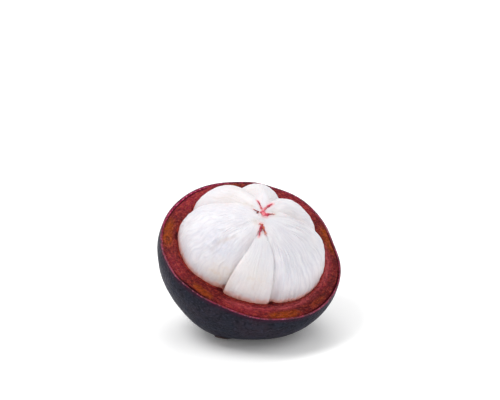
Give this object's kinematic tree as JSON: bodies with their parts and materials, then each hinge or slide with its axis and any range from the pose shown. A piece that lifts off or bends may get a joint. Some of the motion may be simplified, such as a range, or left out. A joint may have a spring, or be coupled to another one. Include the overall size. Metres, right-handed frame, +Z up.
{
  "type": "mangosteen half",
  "caption": "Half of a mangosteen cut across its middle: a thick purple rind cup with the white segments standing up out of it, leaning on a small flat spot of its skin.",
  "frame": {"origin": "on the ground, under the middle of the fruit's outline seen from above", "axes": "+Z up; the cut face leans 28 degrees from level towards -Y, so -Y is the side that shows the segments; +X to the right of that view"},
  "size_m": [0.0632, 0.0592, 0.0493],
  "materials": {
    "rind": "dark purple skin with a faint bloom, moist maroon cut face",
    "aril": "moist white flesh, slightly translucent",
    "core": "moist red-pink strands",
    "rosette": "dry brown, rough"
  },
  "bodies": {
    "root": {"rind": "rind", "aril_left": "aril", "aril_back_left": "aril", "aril_back": "aril", "aril_back_right": "aril", "aril_right": "aril", "aril_wedge": "aril", "core_star": "core", "core_fork": "core", "stigma_rosette": "rosette"}
  },
  "joints": []
}
